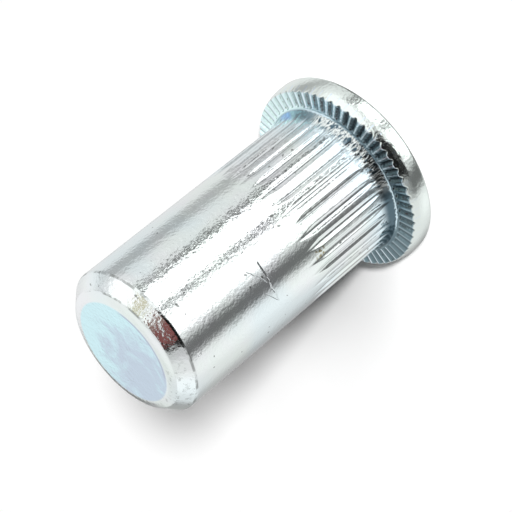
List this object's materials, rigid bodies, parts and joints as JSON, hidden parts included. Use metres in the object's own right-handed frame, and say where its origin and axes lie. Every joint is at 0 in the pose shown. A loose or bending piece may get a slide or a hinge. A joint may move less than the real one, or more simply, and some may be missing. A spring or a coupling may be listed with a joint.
{
  "type": "rivet nut",
  "caption": "Closed-end rivet nut in zinc-plated steel: ribbed shank and small flat head with locking teeth, set blind in a sheet to give it a strong screw thread.",
  "frame": {"origin": "on the axis, in the plane of the head's open face, on which the nut stands", "axes": "+Z along the axis from the open head to the closed end; +X and +Y each run through the middle of a shank groove"},
  "size_m": [0.0118, 0.0118, 0.0183],
  "materials": {
    "zinc_steel": "bright blue-white zinc plating, semi-gloss"
  },
  "bodies": {
    "root": {"rivet_nut": "zinc_steel"}
  },
  "joints": []
}
